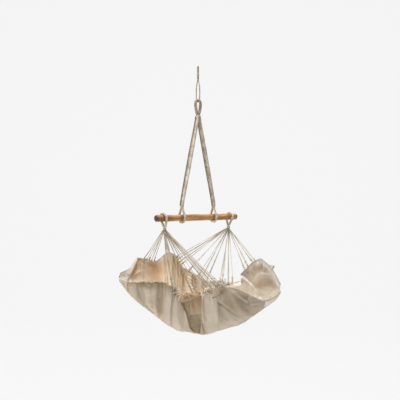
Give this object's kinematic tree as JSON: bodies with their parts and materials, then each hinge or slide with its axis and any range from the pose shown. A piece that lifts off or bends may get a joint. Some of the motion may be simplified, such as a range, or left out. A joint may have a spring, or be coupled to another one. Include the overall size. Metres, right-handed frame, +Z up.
{
  "type": "hanging baby cradle",
  "caption": "Canvas sling cradle whose gathered edges hang by fans of thin cord from the ends of a round wooden spreader bar, itself hung by doubled rope from one cord loop.",
  "frame": {"origin": "top of the hanging cord's small loop, where a hook holds the cradle", "axes": "+Z up, +X along the spreader bar to the right, +Y along the sling to its head end"},
  "size_m": [0.56, 0.8771, 1.367],
  "materials": {
    "thin_cord": "twisted undyed cotton cord",
    "leg_rope": "soft braided cotton rope",
    "loop_rope": "soft braided cotton rope",
    "fan_cord": "thin undyed cotton cord",
    "bar_wood": "peeled and oiled round pole, streaky grain",
    "canvas": "unbleached cotton canvas, soft folds",
    "hem_cloth": "gathered canvas hem, whip stitched"
  },
  "bodies": {
    "hook_loop": {"top_loop": "thin_cord"},
    "cord_knot": {"cord_knot": "thin_cord"},
    "long_loop": {"long_loop": "thin_cord"},
    "hanger": {"rope_eye": "leg_rope", "eye_seizing": "leg_rope", "left_leg_front_rope": "leg_rope", "left_leg_back_rope": "leg_rope", "right_leg_front_rope": "leg_rope", "right_leg_back_rope": "leg_rope", "left_leg_seizing": "leg_rope", "right_leg_seizing": "leg_rope", "left_bar_sling": "loop_rope", "right_bar_sling": "loop_rope"},
    "bar": {"spreader_bar": "bar_wood"},
    "cradle": {"left_cradle_loop": "loop_rope", "right_cradle_loop": "loop_rope", "left_gather_knot": "loop_rope", "right_gather_knot": "loop_rope", "left_fan_cord_01": "fan_cord", "left_fan_cord_02": "fan_cord", "left_fan_cord_03": "fan_cord", "left_fan_cord_04": "fan_cord", "left_fan_cord_05": "fan_cord", "left_fan_cord_06": "fan_cord", "left_fan_cord_07": "fan_cord", "left_fan_cord_08": "fan_cord", "left_fan_cord_09": "fan_cord", "left_fan_cord_10": "fan_cord", "left_fan_cord_11": "fan_cord", "left_fan_cord_12": "fan_cord", "left_fan_cord_13": "fan_cord", "left_fan_cord_14": "fan_cord", "left_fan_cord_15": "fan_cord", "left_fan_cord_16": "fan_cord", "left_fan_cord_17": "fan_cord", "left_fan_cord_18": "fan_cord", "right_fan_cord_01": "fan_cord", "right_fan_cord_02": "fan_cord", "right_fan_cord_03": "fan_cord", "right_fan_cord_04": "fan_cord", "right_fan_cord_05": "fan_cord", "right_fan_cord_06": "fan_cord", "right_fan_cord_07": "fan_cord", "right_fan_cord_08": "fan_cord", "right_fan_cord_09": "fan_cord", "right_fan_cord_10": "fan_cord", "right_fan_cord_11": "fan_cord", "right_fan_cord_12": "fan_cord", "right_fan_cord_13": "fan_cord", "right_fan_cord_14": "fan_cord", "right_fan_cord_15": "fan_cord", "right_fan_cord_16": "fan_cord", "left_edge_hem": "hem_cloth", "right_edge_hem": "hem_cloth", "head_hem": "hem_cloth", "foot_hem": "hem_cloth", "cradle_cloth": "canvas"}
  },
  "joints": [
    {"name": "cord_twist", "type": "hinge", "parent": "hook_loop", "child": "cord_knot", "pos_m": [0, 0, -0.038], "axis": [0, 0, 1], "range_deg": [-180, 180]},
    {"name": "side_swing", "type": "hinge", "parent": "cord_knot", "child": "long_loop", "pos_m": [0, 0, -0.06485], "axis": [0, 1, 0], "range_deg": [-20, 20]},
    {"name": "fore_and_aft_swing", "type": "hinge", "parent": "long_loop", "child": "hanger", "pos_m": [0, 0, -0.1762], "axis": [1, 0, 0], "range_deg": [-25, 25]},
    {"name": "bar_roll", "type": "hinge", "parent": "hanger", "child": "bar", "pos_m": [0, 0, -0.7751], "axis": [1, 0, 0], "continuous": true},
    {"name": "cradle_rock", "type": "hinge", "parent": "hanger", "child": "cradle", "pos_m": [0, 0, -0.7751], "axis": [1, 0, 0], "range_deg": [-25, 25]}
  ]
}
